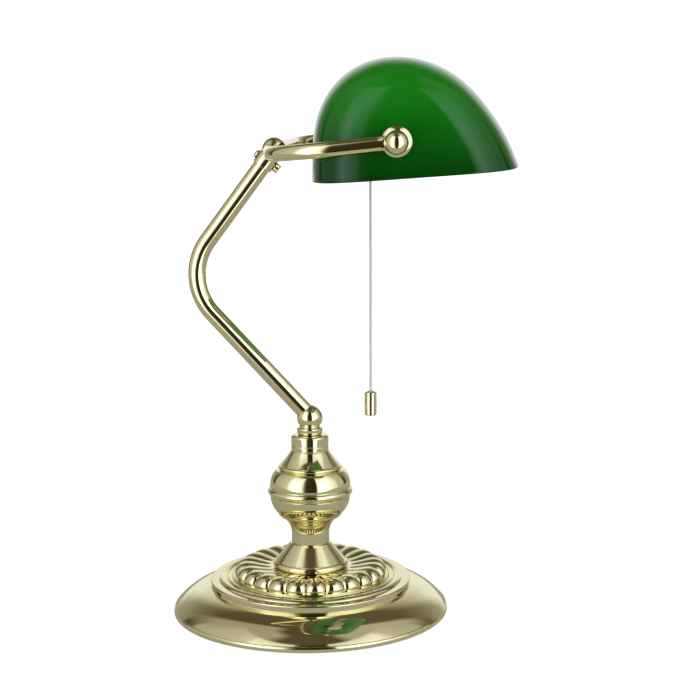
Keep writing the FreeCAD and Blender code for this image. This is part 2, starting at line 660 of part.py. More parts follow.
def switch_housing():
    z0, top = SWITCH_BOTTOM_Z, STRAP_Z - STRAP_T / 2
    return turned((STEM_R + FITS, z0), [(2.4, z0), (3.0, z0 + 1.5), (5.6, z0 + 2.5), (SWITCH_R, z0 + 4),
                                        (SWITCH_R, top), (0, top), (0, top - 2), (4.0, top - 2),
                                        (4.0, z0 + 4), (STEM_R + FITS, z0 + 4)]).translated(V(PULL_X, 0, 0))


def switch_stem():
    z0 = STEM_BOTTOM_Z
    return turned((0, z0), [(1.9, z0), (1.9, z0 + 2.0), (STEM_R, z0 + 2.6), (STEM_R, SWITCH_BOTTOM_Z + 11.0),
                            (2.6, SWITCH_BOTTOM_Z + 11.0), (2.6, SWITCH_BOTTOM_Z + 12.6),
                            (0, SWITCH_BOTTOM_Z + 12.6)]).translated(V(PULL_X, 0, 0))


def cord_bead():
    """Small crimped ball at the top of the cord; its centre is the cord's pivot."""
    flat = -1.4
    edge = math.sqrt(BEAD_PULL_R ** 2 - flat ** 2)
    bead = turned((0, flat), [(edge, flat), ((BEAD_PULL_R, 0), (0, BEAD_PULL_R))])
    pin_hole = rod(BEAD_PIN_R, V(0, -BEAD_PULL_R, 0), V(0, BEAD_PULL_R, 0))
    return bead.cut(pin_hole).translated(V(PULL_X, 0, PULL_PIVOT_Z))


def cord_radii():
    """Arc radius at each inner point: 0.45 of the shorter run over tan(half the turn)."""
    radii = []
    for before, here, after in zip(CORD_ROUTE, CORD_ROUTE[1:], CORD_ROUTE[2:]):
        arriving, leaving = here - before, after - here
        turn = arriving.getAngle(leaving)
        radii.append(0.45 * min(arriving.Length, leaving.Length) / math.tan(turn / 2))
    return radii


def pull_cord():
    return swept(CORD_R, list(CORD_ROUTE), cord_radii())


def pull_knob():
    z0, top = KNOB_BOTTOM_Z, KNOB_TOP_Z
    return turned((0, z0), [(KNOB_R - 0.5, z0), (KNOB_R, z0 + 0.5), (KNOB_R, top - 2.2),
                            ((KNOB_R - 0.3, top - 1.0), (KNOB_R - 1.3, top - 0.5)), (1.8, top),
                            (0, top)]).translated(V(PULL_X, 0, 0))


def build():
    near_disc, far_disc = pair(disc())
    near_stud, far_stud = pair(stud())
    near_nut, far_nut = pair(ball_nut())
    stud_nuts = Part.makeCompound(list(pair(stud_nut())))
    return {
        "base_shell": base_shell(), "base_weight": base_weight(), "base_plate": base_plate(),
        "plate_screws": plate_screws(), "felt_pad": felt_pad(), "lead_grommet": lead_grommet(),
        "stem_rod": stem_rod(), "rod_washer": rod_washer(), "rod_nut": rod_nut(),
        "gadroon_ring": gadroon_ring(), "foot_cone": foot_cone(), "lower_vase": lower_vase(),
        "equator_bead": equator_bead(), "upper_vase": upper_vase(),
        "lock_ring": lock_ring(), "swivel_ball": swivel_ball(), "arm_tube": arm_tube(),
        "tube_lead": tube_lead(), "top_joint": top_joint(), "cross_screw": cross_screw(),
        "cross_nut": cross_nut(), "yoke": yoke(),
        "shade_green": shade_green(), "shade_white": shade_white(),
        "rubber_washers": rubber_washers(), "side_disc_near": near_disc, "side_disc_far": far_disc,
        "stud_near": near_stud, "stud_far": far_stud, "stud_nuts": stud_nuts,
        "ball_nut_near": near_nut, "ball_nut_far": far_nut, "strap": strap(),
        "lampholder_shell": lampholder_shell(), "lampholder_core": lampholder_core(),
        "lampholder_nipple": lampholder_nipple(), "lampholder_nut": lampholder_nut(),
        "bulb_cap": bulb_cap(), "bulb_glass": bulb_glass(),
        "switch_housing": switch_housing(), "switch_stem": switch_stem(),
        "cord_bead": cord_bead(), "pull_cord": pull_cord(), "pull_knob": pull_knob(),
    }


def main():
    os.makedirs("parts", exist_ok=True)
    for node, shape in build().items():
        shape.exportStep("parts/%s.step" % node)
        print("%-18s solids %d valid %s volume %.1f" % (node, len(shape.Solids), shape.isValid(), shape.Volume))
    cord = pull_cord()
    section = math.pi * CORD_R ** 2
    print("cord radii:", ", ".join("%.0f" % r for r in cord_radii()),
          "length %.1f, volume / section %.1f" % (rounded_path(list(CORD_ROUTE), cord_radii()).Length,
                                                  cord.Volume / section))


main()
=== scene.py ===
import bpy
import json
import math
import numpy as np
from mathutils import Matrix, Vector


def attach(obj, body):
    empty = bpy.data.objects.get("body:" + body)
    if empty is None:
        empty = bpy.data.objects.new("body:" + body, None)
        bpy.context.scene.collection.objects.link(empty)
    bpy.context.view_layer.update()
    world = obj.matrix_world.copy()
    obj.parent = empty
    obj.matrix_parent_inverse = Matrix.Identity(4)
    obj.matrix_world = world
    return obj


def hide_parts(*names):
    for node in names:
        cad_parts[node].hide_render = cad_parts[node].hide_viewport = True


# Banker desk lamp. Outlines below are in millimetres, in the lamp's own frame:
# +Z up, +X towards the shade's front, +Y along the shade. Meshes are in metres.

MM = 0.001
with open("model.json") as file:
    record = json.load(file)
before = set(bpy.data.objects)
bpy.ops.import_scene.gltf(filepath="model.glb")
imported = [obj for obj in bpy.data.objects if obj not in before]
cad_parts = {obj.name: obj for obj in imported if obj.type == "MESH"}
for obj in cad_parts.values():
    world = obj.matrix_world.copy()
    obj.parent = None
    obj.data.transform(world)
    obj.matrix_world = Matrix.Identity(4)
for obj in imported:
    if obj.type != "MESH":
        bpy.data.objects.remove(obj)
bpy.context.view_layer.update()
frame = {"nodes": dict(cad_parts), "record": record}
NODES = frame["nodes"]


# ------------------------------------------------------------------ material helpers

class Nodes:
    """A material's node tree, with short calls to add and join nodes."""

    def __init__(self, name):
        self.material = bpy.data.materials.new(name)
        self.material.use_nodes = True
        self.tree = self.material.node_tree
        self.shader = self.tree.nodes["Principled BSDF"]

    def add(self, kind, **settings):
        node = self.tree.nodes.new(kind)
        for key, value in settings.items():
            setattr(node, key, value)
        return node

    def join(self, source, target):
        self.tree.links.new(source, target)

    def set(self, **values):
        for key, value in values.items():
            self.shader.inputs[key.replace("_", " ")].default_value = value

    def place(self):
        """Object coordinates, in metres in the lamp's frame."""
        return self.add("ShaderNodeTexCoord").outputs["Object"]

    def scaled(self, vector, scale):
        mapping = self.add("ShaderNodeMapping")
        mapping.inputs["Scale"].default_value = scale
        self.join(vector, mapping.inputs["Vector"])
        return mapping.outputs["Vector"]

    def noise(self, vector, scale, detail=3.0, roughness=0.5):
        noise = self.add("ShaderNodeTexNoise")
        noise.inputs["Scale"].default_value = scale
        noise.inputs["Detail"].default_value = detail
        noise.inputs["Roughness"].default_value = roughness
        self.join(vector, noise.inputs["Vector"])
        return noise.outputs["Fac"]

    def ranged(self, value, low, high, from_low=0.0, from_high=1.0):
        span = self.add("ShaderNodeMapRange")
        span.inputs["From Min"].default_value = from_low
        span.inputs["From Max"].default_value = from_high
        span.inputs["To Min"].default_value = low
        span.inputs["To Max"].default_value = high
        self.join(value, span.inputs["Value"])
        return span.outputs["Result"]

    def blend(self, factor, first, second):
        mix = self.add("ShaderNodeMix", data_type="RGBA")
        mix.inputs["A"].default_value = (*first, 1.0)
        mix.inputs["B"].default_value = (*second, 1.0)
        self.join(factor, mix.inputs["Factor"])
        return mix.outputs["Result"]

    def bump(self, height, strength, distance):
        bump = self.add("ShaderNodeBump")
        bump.inputs["Strength"].default_value = strength
        bump.inputs["Distance"].default_value = distance
        self.join(height, bump.inputs["Height"])
        self.join(bump.outputs["Normal"], self.shader.inputs["Normal"])

    def colour(self, socket):
        self.join(socket, self.shader.inputs["Base Color"])

    def roughness(self, socket):
        self.join(socket, self.shader.inputs["Roughness"])


def set_stops(ramp, stops):
    """Fill a colour ramp with (position, colour) stops."""
    while len(ramp.elements) < len(stops):
        ramp.elements.new(0.5)
    for element, (position, _) in zip(ramp.elements, stops):
        element.position = position
    for element, (_, colour) in zip(ramp.elements, stops):
        element.color = (*colour, 1.0)


def polished_brass():
    """Pale brass plate: slow colour drift, a trace of polishing haze, faint orange-peel."""
    m = Nodes("polished_brass")
    m.set(Metallic=1.0)
    place = m.place()
    drift = m.noise(place, 18.0, 2.0)
    m.colour(m.blend(drift, (0.88, 0.81, 0.51), (0.835, 0.775, 0.49)))
    haze = m.noise(place, 55.0, 4.0, 0.6)
    m.roughness(m.ranged(haze, 0.035, 0.075, 0.35, 0.7))
    peel = m.noise(place, 420.0, 1.0)
    m.bump(peel, 0.03, 0.00004)
    return m.material


# painted shade: the glass's colour is darker low down by the rim and lighter towards the crown, as if lit
# from above;
# colour by share of the glass's height, which lies between these two heights in metres
GLASS_HEIGHTS = (0.302, 0.386)
GLASS_PAINTED_SHADES = ((0.06, (0.0040, 0.055, 0.0050)), (0.25, (0.0060, 0.105, 0.0070)),
                (0.55, (0.0100, 0.190, 0.0110)), (0.80, (0.0170, 0.270, 0.0170)),
                (1.0, (0.0230, 0.320, 0.0210)))
STREAK_SHARE = 0.12     # how far a streak shifts the colour along those shades


def green_glass():
    """Cased green glass: deep colour with slow streaks and painted shade, darker low down and lighter
    towards the crown, a fire-polished skin.
    """
    m = Nodes("green_glass")
    m.set(Roughness=0.10, IOR=1.46)
    place = m.place()
    streaks = m.noise(m.scaled(place, (1.0, 0.35, 1.6)), 22.0, 3.0)
    height = m.add("ShaderNodeSeparateXYZ")
    m.join(place, height.inputs[0])
    # painted shade: the share of the glass's height moves the colour from the dark end of the painted
    # shading to the light end
    rise = m.ranged(height.outputs["Z"], 0.0, 1.0, *GLASS_HEIGHTS)
    # streaks plus that painted shade pick the colour along the painted shading ramp
    depth = m.add("ShaderNodeMath", operation="MULTIPLY_ADD")
    m.join(streaks, depth.inputs[0])
    depth.inputs[1].default_value = STREAK_SHARE
    m.join(rise, depth.inputs[2])
    shades = m.add("ShaderNodeValToRGB")
    set_stops(shades.color_ramp, GLASS_PAINTED_SHADES)
    m.join(depth.outputs[0], shades.inputs["Fac"])
    m.colour(shades.outputs["Color"])
    wave = m.noise(place, 26.0, 1.0)
    m.bump(wave, 0.05, 0.0004)
    return m.material


def white_glass():
    """Opal lining: milky, glossy, tinted by the green glass behind it."""
    m = Nodes("white_glass")
    m.set(Roughness=0.12, IOR=1.5)
    cloud = m.noise(m.place(), 30.0, 3.0)
    m.colour(m.blend(cloud, (0.34, 0.64, 0.36), (0.42, 0.72, 0.43)))
    m.bump(m.noise(m.place(), 40.0, 1.0), 0.05, 0.0003)
    return m.material


def bulb_glass():
    """Opal bulb glass, nearly white."""
    m = Nodes("bulb_glass")
    m.set(Roughness=0.18, IOR=1.5)
    cloud = m.noise(m.place(), 60.0, 2.0)
    m.colour(m.blend(cloud, (0.90, 0.89, 0.85), (0.95, 0.95, 0.92)))
    return m.material


def zinc_steel():
    """Bright zinc plate with a fine spangle and drawn scratches."""
    m = Nodes("zinc_steel")
    m.set(Metallic=1.0)
    place = m.place()
    spangle = m.noise(place, 240.0, 3.0)
    m.colour(m.blend(spangle, (0.60, 0.60, 0.59), (0.74, 0.74, 0.72)))
    m.roughness(m.ranged(m.noise(place, 90.0, 4.0), 0.22, 0.42))
    m.bump(m.noise(m.scaled(place, (1.0, 6.0, 6.0)), 500.0, 2.0), 0.08, 0.00008)
    return m.material


def cast_iron():
    """Rough casting, painted black."""
    m = Nodes("cast_iron")
    place = m.place()
    m.colour(m.blend(m.noise(place, 120.0, 4.0), (0.015, 0.015, 0.016), (0.045, 0.043, 0.042)))
    m.set(Roughness=0.75)
    m.bump(m.noise(place, 700.0, 5.0, 0.7), 0.6, 0.0004)
    return m.material


def felt():
    """Short dense wool fibres, dark green."""
    m = Nodes("felt")
    place = m.place()
    m.colour(m.blend(m.noise(place, 900.0, 6.0, 0.7), (0.008, 0.050, 0.018), (0.035, 0.130, 0.055)))
    m.set(Roughness=0.95, Specular_IOR_Level=0.1, Sheen_Weight=0.08)
    m.bump(m.noise(place, 1800.0, 6.0, 0.8), 0.9, 0.0003)
    return m.material


def rubber():
    """Matt black rubber."""
    m = Nodes("rubber")
    place = m.place()
    m.colour(m.blend(m.noise(place, 300.0, 3.0), (0.018, 0.018, 0.018), (0.035, 0.034, 0.033)))
    m.roughness(m.ranged(m.noise(place, 200.0, 3.0), 0.5, 0.75))
    m.bump(m.noise(place, 1500.0, 2.0), 0.2, 0.00008)
    return m.material


def holder_plastic():
    """Moulded black thermoset, half matt."""
    m = Nodes("holder_plastic")
    place = m.place()
    m.colour(m.blend(m.noise(place, 150.0, 3.0), (0.02, 0.02, 0.02), (0.04, 0.038, 0.036)))
    m.roughness(m.ranged(m.noise(place, 400.0, 3.0), 0.38, 0.55))
    m.bump(m.noise(place, 1600.0, 2.0), 0.25, 0.00006)
    return m.material


def lead_sheath():
    """Smooth cream PVC."""
    m = Nodes("lead_sheath")
    place = m.place()
    m.colour(m.blend(m.noise(place, 200.0, 2.0), (0.62, 0.60, 0.52), (0.70, 0.68, 0.60)))
    m.roughness(m.ranged(m.noise(place, 300.0, 2.0), 0.35, 0.5))
    return m.material


def cord_fabric():
    """Fine round braid: two sets of diagonal ridges round the cord."""
    m = Nodes("cord_fabric")
    place = m.place()
    m.colour(m.blend(m.noise(place, 1500.0, 3.0), (0.62, 0.62, 0.60), (0.80, 0.80, 0.78)))
    m.set(Roughness=0.7, Sheen_Weight=0.3)
    braid = m.add("ShaderNodeTexWave", wave_type="BANDS", bands_direction="DIAGONAL")
    braid.inputs["Scale"].default_value = 420.0
    braid.inputs["Distortion"].default_value = 1.5
    m.join(place, braid.inputs["Vector"])
    m.bump(braid.outputs["Fac"], 0.5, 0.00012)
    return m.material


MAKERS = (polished_brass, green_glass, white_glass, bulb_glass, zinc_steel, cast_iron, felt, rubber,
          holder_plastic, lead_sheath, cord_fabric)
MATERIALS = {maker.__name__: maker() for maker in MAKERS}


# ------------------------------------------------------------------ outlines and turned pieces

ARC_STEP = math.radians(5.0)
SOFTEN = 0.4            # how far a polished edge is rounded back from its corner
CREASE = math.radians(7.0)


class Run:
    """A straight or round stretch of an outline, measured by distance from its start."""

    def __init__(self, start, end, through=None):
        self.start, self.end = Vector(start), Vector(end)
        self.centre = None
        self.cut_in = self.cut_out = 0.0
        if through is None:
            self.length = (self.end - self.start).length
            self.heading = (self.end - self.start).normalized()
            return
        self.centre = circle_centre(self.start, Vector(through), self.end)
        spoke, middle, last = (Vector(p) - self.centre for p in (start, through, end))
        self.radius = spoke.length
        self.first = math.atan2(spoke.y, spoke.x)
        to_middle = (math.atan2(middle.y, middle.x) - self.first) % math.tau
        to_last = (math.atan2(last.y, last.x) - self.first) % math.tau
        self.turn = to_last if to_middle < to_last else to_last - math.tau
        self.length = abs(self.turn) * self.radius

    def at(self, distance):
        """Point and direction."""
        if self.centre is None:
            return self.start + self.heading * distance, self.heading
        angle = self.first + self.turn * distance / self.length
        spoke = Vector((math.cos(angle), math.sin(angle)))
        along = Vector((-spoke.y, spoke.x)) * math.copysign(1.0, self.turn)
        return self.centre + spoke * self.radius, along

    def samples(self):
        first, last = self.cut_in, self.length - self.cut_out
        count = 1
        if self.centre is not None:
            count = max(2, math.ceil(abs(self.turn) * (last - first) / self.length / ARC_STEP))
        return [self.at(first + (last - first) * i / count) for i in range(count + 1)]


def circle_centre(a, b, c):
    """Centre of the circle through three points."""
    ab, ac = b - a, c - a
    twice = 2 * (ab.x * ac.y - ab.y * ac.x)
    x = (ac.y * ab.length_squared - ab.y * ac.length_squared) / twice
    y = (ab.x * ac.length_squared - ac.x * ab.length_squared) / twice
    return a + Vector((x, y))


def rounded_corner(before, after, count=5):
    """Curve from one point and direction to another, left and met along those directions."""
    (p0, d0), (p3, d3) = before, after
    reach = (p3 - p0).length * 0.4
    p1, p2 = p0 + d0 * reach, p3 - d3 * reach
    samples = []
    for i in range(1, count):
        t = i / count
        u = 1 - t
        point = p0 * u ** 3 + p1 * 3 * u * u * t + p2 * 3 * u * t * t + p3 * t ** 3
        heading = (p1 - p0) * u * u + (p2 - p1) * 2 * u * t + (p3 - p2) * t * t
        samples.append((point, heading.normalized()))
    return samples


def outline(start, steps, soften=SOFTEN):
    """Samples (point, direction) round a closed outline whose corners off the axis are eased."""
    runs = []
    here = start
    for step in list(steps) + [start]:
        through, end = step if isinstance(step[0], tuple) else (None, step)
        if (Vector(end) - Vector(here)).length > 1e-6:
            runs.append(Run(here, end, through))
        here = end
    corners = []
    for run, after in zip(runs, runs[1:] + runs[:1]):
        bend = run.at(run.length)[1].angle(after.at(0.0)[1])
        eased = bend > CREASE and run.end.x > 1e-6
        corners.append(eased)
        if eased:
            run.cut_out = after.cut_in = min(soften, 0.4 * run.length, 0.4 * after.length)
    samples = []
    for i, run in enumerate(runs):
        if run.start.x < 1e-6 and run.end.x < 1e-6:
            continue
        samples += run.samples()
        if corners[i]:
            after = runs[(i + 1) % len(runs)]
            samples += rounded_corner(samples[-1], after.at(after.cut_in))
    return without_repeats(samples)


def without_repeats(samples):
    """The samples without those that fall on the one before, or the last on the first."""
    kept = []
    for point, heading in samples:
        if not kept or (point - kept[-1][0]).length > 1e-5:
            kept.append((point, heading))
    if (kept[0][0] - kept[-1][0]).length < 1e-5:
        kept.pop()
    return kept


def signed_area(points):
    """Area inside a closed outline, above 0 where it runs anticlockwise."""
    pairs = zip(points, points[1:] + points[:1])
    return sum(a.x * b.y - b.x * a.y for a, b in pairs) / 2


def mesh_object(name, points, faces, normals=None):
    """Smooth-shaded object from points in millimetres, with its own normals where they are known."""
    mesh = bpy.data.meshes.new(name)
    mesh.from_pydata([tuple(c * MM for c in p) for p in points], [], faces)
    mesh.validate()
    mesh.shade_smooth()
    if normals is not None:
        mesh.normals_split_custom_set_from_vertices([tuple(n) for n in normals])
    obj = bpy.data.objects.new(name, mesh)
    bpy.context.scene.collection.objects.link(obj)
    return obj


def finish_piece(obj, material, body, *nodes):
    """Material, body and the CAD nodes that the piece stands for."""
    obj.data.materials.append(MATERIALS[material])
    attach(obj, body)
    if nodes:
        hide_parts(*nodes)
    return obj


def frame_on(point, axis):
    """Matrix that takes +Z to the axis and the origin to the point."""
    turn = Vector((0, 0, 1)).rotation_difference(Vector(axis)).to_matrix().to_4x4()
    return Matrix.Translation(Vector(point)) @ turn


def turned(name, start, steps, segments=128, place=None, soften=SOFTEN):
    """Solid of revolution about Z, then placed, with the outline's own normals."""
    samples = outline(start, steps, soften)
    side = 1 if signed_area([p for p, _ in samples]) > 0 else -1
    rows, points, normals = [], [], []
    for (radius, height), heading in samples:
        out = Vector((heading.y, -heading.x)) * side
        row = []
        spokes = 1 if radius < 1e-6 else segments
        for i in range(spokes):
            angle = math.tau * i / segments
            c, s = math.cos(angle), math.sin(angle)
            row.append(len(points))
            points.append(Vector((radius * c, radius * s, height)))
            flat = 0.0 if spokes == 1 else out.x
            normals.append(Vector((flat * c, flat * s, out.y)).normalized())
        rows.append(row)
    faces = []
    for low, high in zip(rows, rows[1:] + rows[:1]):
        faces += band(low, high, side)
    if place is not None:
        turn = place.to_3x3()
        points = [place @ p for p in points]
        normals = [turn @ n for n in normals]
    return mesh_object(name, points, faces, normals)


def band(low, high, side):
    """Quads, or triangles at a pole, between two rows of point numbers."""
    if len(low) == 1 and len(high) == 1:
        return []
    count = max(len(low), len(high))
    faces = []
    for i in range(count):
        j = (i + 1) % count
        if len(low) == 1:
            face = (low[0], high[j], high[i])
        elif len(high) == 1:
            face = (low[i], low[j], high[0])
        else:
            face = (low[i], low[j], high[j], high[i])
        faces.append(face if side > 0 else face[::-1])
    return faces


# ------------------------------------------------------------------ swept pieces

def rounded_path(corners, radii, arc_step=math.radians(2.5)):
    """Samples (point, direction) along straight runs joined by tangent arcs."""
    samples = [(corners[0], (corners[1] - corners[0]).normalized())]
    for i, radius in enumerate(radii, 1):
        come = (corners[i] - corners[i - 1]).normalized()
        leave = (corners[i + 1] - corners[i]).normalized()
        bend = come.angle(leave)
        start = corners[i] - come * radius * math.tan(bend / 2)
        inward = (leave - come * come.dot(leave)).normalized()
        centre = start + inward * radius
        count = max(2, math.ceil(bend / arc_step))
        for k in range(count + 1):
            angle = bend * k / count
            spoke = come * math.sin(angle) - inward * math.cos(angle)
            heading = come * math.cos(angle) + inward * math.sin(angle)
            samples.append((centre + spoke * radius, heading))
    samples.append((corners[-1], (corners[-1] - corners[-2]).normalized()))
    return samples


def swept(name, samples, upright, shapes, around=64):
    """Closed tube along samples in a plane with the normal upright.

    A shape is (half width, half height, squareness), and a squareness of 2 is an ellipse.
    """
    points = []
    rows = []
    for (centre, heading), (wide, high, square) in zip(samples, shapes):
        side = heading.cross(upright).normalized()
        row = []
        for k in range(around):
            angle = math.tau * k / around
            c, s = math.cos(angle), math.sin(angle)
            across = math.copysign(abs(c) ** (2 / square), c) * wide
            up = math.copysign(abs(s) ** (2 / square), s) * high
            row.append(len(points))
            points.append(centre + side * across + upright * up)
        rows.append(row)
    faces = []
    for low, high in zip(rows, rows[1:]):
        faces += band(low, high, -1)
    faces.append(tuple(rows[0]))
    faces.append(tuple(reversed(rows[-1])))
    obj = mesh_object(name, points, faces)
    obj.data.set_sharp_from_angle(angle=math.radians(40))
    return obj


def smooth_curve(points, count):
    """Points evenly spaced on the natural cubic spline through points of any dimension."""
    points = np.array(points, float)
    knots = np.concatenate(([0.0], np.cumsum(np.linalg.norm(np.diff(points, axis=0), axis=1))))
    gaps = np.diff(knots)
    inner = len(points) - 2
    system = np.zeros((inner, inner))
    wanted = np.zeros((inner, points.shape[1]))
    for i in range(inner):
        system[i, i] = 2 * (gaps[i] + gaps[i + 1])
        if i > 0:
            system[i, i - 1] = gaps[i]
        if i < inner - 1:
            system[i, i + 1] = gaps[i + 1]
        rise, before = points[i + 2] - points[i + 1], points[i + 1] - points[i]
        wanted[i] = 6 * (rise / gaps[i + 1] - before / gaps[i])
    bend = np.zeros_like(points)
    bend[1:-1] = np.linalg.solve(system, wanted)
    curve = []
    for at in np.linspace(0.0, knots[-1], count):
        i = min(int(np.searchsorted(knots, at, side="right")) - 1, len(gaps) - 1)
        a, b, gap = knots[i + 1] - at, at - knots[i], gaps[i]
        curve.append(bend[i] * a ** 3 / (6 * gap) + bend[i + 1] * b ** 3 / (6 * gap)
                     + (points[i] / gap - bend[i] * gap / 6) * a
                     + (points[i + 1] / gap - bend[i + 1] * gap / 6) * b)
    return curve


# ------------------------------------------------------------------ foot and stem

BASE_R, STEP_R, SHELL_T, SHELL_TOP_Z, RIM_Z = 95.0, 69.5, 1.2, 23.2, 0.4
ROD_HOLE = 5.02
PETALS, PETAL_COLUMNS, PETAL_ROWS = 24, 18, 44
PETAL_INNER_R, PETAL_SEAT_R, PETAL_FOOT_Z, RING_FLOOR_Z = 27.0, 25.8, 25.8, 29.5
# ridge of a petal as (radius, height, groove depth), from its foot to its inner edge
PETAL_RIDGE = ((52.4, PETAL_FOOT_Z, 1.6), (52.9, 27.2, 2.2), (52.4, 29.6, 2.6), (50.2, 32.4, 2.7),
               (46.3, 34.2, 2.4), (41.0, 34.1, 1.8), (34.0, 32.6, 1.2), (PETAL_INNER_R, 31.4, 0.0))
PETAL_ROUNDNESS = 0.94
GROOVE_FADE = 0.75      # share of its fall that a groove loses towards the petals' feet
CONE_TOP_Z, VASE_SPLIT_Z, BEAD_TOP_Z, COLLAR_TOP_Z = 48.3, 81.6, 88.2, 124.5


def base_shell():
    """Spun foot: lip, dish, upright band, flat ledge and two half-round mouldings."""
    inner_top = SHELL_TOP_Z - SHELL_T
    steps = [((BASE_R + 0.3, 2.2), (BASE_R - 0.2, 4.0)), (BASE_R - 0.7, 4.3),
             ((83.6, 13.6), (STEP_R, 18.5)), (STEP_R, 22.2),
             ((STEP_R - 0.3, 23.0), (STEP_R - 1.1, SHELL_TOP_Z)), (64.0, SHELL_TOP_Z),
             ((61.0, 25.2), (58.2, SHELL_TOP_Z)), ((56.2, 24.9), (54.2, SHELL_TOP_Z)),
             (ROD_HOLE, SHELL_TOP_Z), (ROD_HOLE, inner_top), (STEP_R - 2.0, inner_top),
             (STEP_R - SHELL_T, inner_top - 0.8), (STEP_R - SHELL_T, 17.6),
             ((82.6, 12.6), (BASE_R - 2.4, 3.9)), (BASE_R - SHELL_T, 2.6), (BASE_R - SHELL_T, RIM_Z)]
    shell = turned("foot_shell", (BASE_R, RIM_Z), steps, segments=320)
    finish_piece(shell, "polished_brass", "base", "base_shell")


def petal_row(radius, height, depth, at_foot):
    """Points once round the ring, at one place along the petals' ridges; level at their feet."""
    steep = (radius - PETAL_INNER_R) / (PETAL_RIDGE[0][0] - PETAL_INNER_R)
    row = []
    for i in range(PETALS * PETAL_COLUMNS):
        across = 2 * (i / PETAL_COLUMNS % 1.0) - 1
        fall = 1 - math.sqrt(1 - PETAL_ROUNDNESS * across * across)
        sag = depth * fall / (1 - math.sqrt(1 - PETAL_ROUNDNESS))
        drop = 0.0 if at_foot else sag * (1 - GROOVE_FADE * steep ** 4)
        shrunk = radius - sag * max(steep, 0.0) ** 2
        angle = math.tau * i / (PETALS * PETAL_COLUMNS)
        row.append(Vector((shrunk * math.cos(angle), shrunk * math.sin(angle), height - drop)))
    return row


def gadroon_ring():
    """24 petals on a two-step plinth, hollow underneath."""
    ridge = smooth_curve(PETAL_RIDGE, PETAL_ROWS)
    rows = [petal_row(*ridge[i], at_foot=i == 0) for i in range(PETAL_ROWS)]
    under = outline((PETAL_SEAT_R + 0.1, 31.4),
                    [(PETAL_SEAT_R, RING_FLOOR_Z), (ROD_HOLE, RING_FLOOR_Z), (ROD_HOLE, 28.0), (30.0, 28.0),
                     (42.0, 29.6), (47.0, 27.5), (47.0, SHELL_TOP_Z), (54.0, SHELL_TOP_Z),
                     ((54.3, 23.9), (54.0, 24.6)), (53.2, 24.6), ((53.5, 25.2), (53.1, PETAL_FOOT_Z))], 0.2)
    count = PETALS * PETAL_COLUMNS
    for (radius, height), _ in under[:-1]:
        turns = [math.tau * i / count for i in range(count)]
        rows.append([Vector((radius * math.cos(a), radius * math.sin(a), height)) for a in turns])
    points = [p for row in rows for p in row]
    numbers = [list(range(i * count, (i + 1) * count)) for i in range(len(rows))]
    faces = []
    for low, high in zip(numbers, numbers[1:] + numbers[:1]):
        faces += band(low, high, 1)
    ring = mesh_object("petal_ring", points, faces)
    ring.data.set_sharp_from_angle(angle=math.radians(32))
    finish_piece(ring, "polished_brass", "base", "gadroon_ring")


def stem():
    """The four turned pieces that are stacked on the foot."""
    z0, top = RING_FLOOR_Z, CONE_TOP_Z
    cone = turned("bell_cone", (ROD_HOLE, z0),
                  [(22.2, z0), ((24.82, 30.58), (25.9, 33.2)), ((25.5, 34.6), (24.3, 35.6)), (14.5, 47.3),
                   ((14.0, 47.9), (13.3, top)), (ROD_HOLE, top), (ROD_HOLE, 45.4), (9.0, 44.0),
                   (18.0, z0 + 3.0), (ROD_HOLE, z0 + 3.0)], segments=192)
    finish_piece(cone, "polished_brass", "base", "foot_cone")
    z0, top = CONE_TOP_Z, VASE_SPLIT_Z
    lower = turned("vase_lower", (ROD_HOLE, z0),
                   [(13.1, z0), (13.1, 54.6), ((14.4, 60.5), (20.3, 66.8)), (21.9, 68.0), (21.9, 69.0),
                    ((25.6, 73.6), (27.7, top)), (25.4, top), ((23.2, 74.6), (17.6, 69.0)),
                    (11.0, 62.0), (10.6, z0 + 4.0), (ROD_HOLE, z0 + 4.0)], segments=192)
    finish_piece(lower, "polished_brass", "base", "lower_vase")
    z0, top = VASE_SPLIT_Z, BEAD_TOP_Z
    bead = turned("vase_bead", (ROD_HOLE, z0),
                  [(27.8, z0), (27.8, z0 + 0.8), ((29.3, (z0 + top) / 2), (27.8, top - 0.8)), (27.8, top),
                   (24.0, top), (24.0, z0 + 2.0), (ROD_HOLE, z0 + 2.0)], segments=192, soften=0.25)
    finish_piece(bead, "polished_brass", "base", "equator_bead")
    z0, top = BEAD_TOP_Z, COLLAR_TOP_Z
    upper = turned("vase_upper", (25.4, z0),
                   [(27.7, z0), ((27.1, 93.8), (23.6, 99.9)), (20.6, 100.5), ((21.9, 101.9), (20.6, 103.3)),
                    ((16.6, 108.0), (13.2, 113.0)), (12.7, 113.6), (12.9, 114.1), (12.9, 116.6),
                    (12.5, 117.0), (12.9, 117.4), (12.9, 122.6), ((12.3, 123.9), (11.0, top)),
                    (ROD_HOLE, top), (ROD_HOLE, 120.0), (10.4, 116.0), ((13.6, 107.2), (18.0, 101.5)),
                    ((23.8, 96.2), (25.4, z0))], segments=192, soften=0.25)
    finish_piece(upper, "polished_brass", "base", "upper_vase")


# ------------------------------------------------------------------ arm

SWIVEL_BALL_Z, SWIVEL_BALL_R, SWIVEL_NECK_R = 136.0, 8.9, 7.1
LOCK_RING_R, LOCK_RING_TOP_Z = 8.9, 129.4
TUBE_R, TUBE_BEND_R = 6.0, 39.0
TUBE_CORNER = Vector((-87.6, 0.0, 232.0))
JOINT_BALL_R, JOINT_X, JOINT_COLLAR_R, JOINT_COLLAR_LENGTH = 8.2, -22.6, 7.0, 6.0
CROSS_SCREW_DROP = 9.2
YOKE_R, YOKE_HALF, YOKE_BEND_R, YOKE_BOW_R = 4.75, 118.1, 40.0, 200.0
YOKE_CORNER_AHEAD, YOKE_STRAIGHT_HALF = 9.5, 32.0
TILT_X, TILT_Z = 61.5, 328.5
Y_AXIS = Vector((0.0, 1.0, 0.0))


def leg(degrees_from_upright):
    """Direction of a leg of the arm, which leans in the plane of X and Z."""
    lean = math.radians(degrees_from_upright)
    return Vector((math.sin(lean), 0.0, math.cos(lean)))


